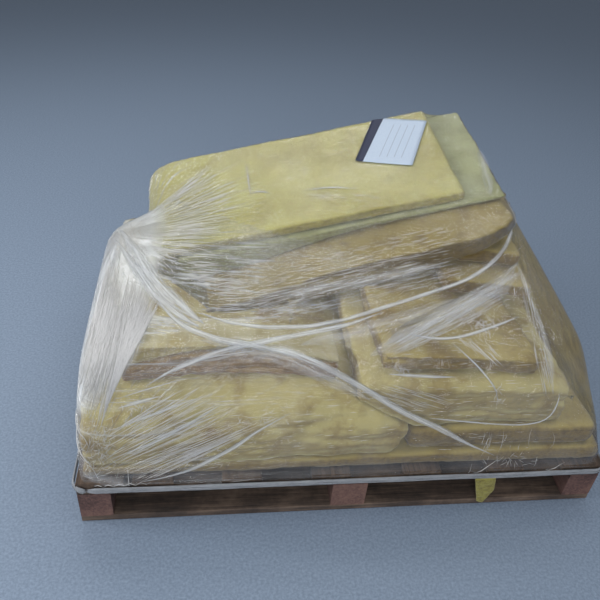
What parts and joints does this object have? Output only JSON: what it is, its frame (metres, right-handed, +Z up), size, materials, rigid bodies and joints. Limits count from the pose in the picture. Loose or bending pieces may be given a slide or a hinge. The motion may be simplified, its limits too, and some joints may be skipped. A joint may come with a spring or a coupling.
{
  "type": "wrapped pallet load of glass wool slabs",
  "caption": "Low wooden pallet piled with soft yellow glass wool slabs, folded and draped, with a tilted bundle on top, all wrapped in clear stretch film.",
  "frame": {"origin": "middle of the pallet's underside, on the floor", "axes": "+X to the right along the 1200 mm front, +Y to the back, +Z up"},
  "size_m": [1.224, 0.8506, 0.6712],
  "materials": {
    "pallet_boards": "weathered sawn softwood, grey-brown",
    "pallet_blocks": "sawn softwood blocks, red-brown",
    "wool": "resin-bonded glass wool, ochre yellow",
    "pale_wool": "resin-bonded glass wool, pale lemon yellow",
    "stretch_film": "clear polyethylene stretch film, glossy and wrinkled",
    "paper": "plain office paper"
  },
  "bodies": {
    "root": {"block_back_centre": "pallet_blocks", "block_back_left": "pallet_blocks", "block_back_right": "pallet_blocks", "block_front_centre": "pallet_blocks", "block_front_left": "pallet_blocks", "block_front_right": "pallet_blocks", "block_middle_centre": "pallet_blocks", "block_middle_left": "pallet_blocks", "block_middle_right": "pallet_blocks", "bottom_board_back": "pallet_boards", "bottom_board_front": "pallet_boards", "bottom_board_middle": "pallet_boards", "deck_board_1": "pallet_boards", "deck_board_2": "pallet_boards", "deck_board_3": "pallet_boards", "deck_board_4": "pallet_boards", "deck_board_5": "pallet_boards", "deck_board_6": "pallet_boards", "deck_board_7": "pallet_boards", "film_bundle_wrap": "stretch_film", "film_load_wrap": "stretch_film", "film_rope_deck": "stretch_film", "paper_sheet": "paper", "slab_bottom": "wool", "slab_bundle_folded": "wool", "slab_bundle_second": "pale_wool", "slab_front_draped": "wool", "slab_left_back": "wool", "slab_left_offcut": "wool", "slab_left_second": "wool", "slab_left_third": "wool", "slab_left_torn": "wool", "slab_prop_left": "wool", "slab_prop_right_first": "wool", "slab_prop_right_second": "wool", "slab_prop_right_third": "wool", "slab_right_folded": "wool", "slab_right_second": "wool", "slab_right_upper": "wool", "slab_top": "pale_wool", "stringer_board_back": "pallet_boards", "stringer_board_front": "pallet_boards", "stringer_board_middle": "pallet_boards", "wool_scrap": "wool"}
  },
  "joints": []
}
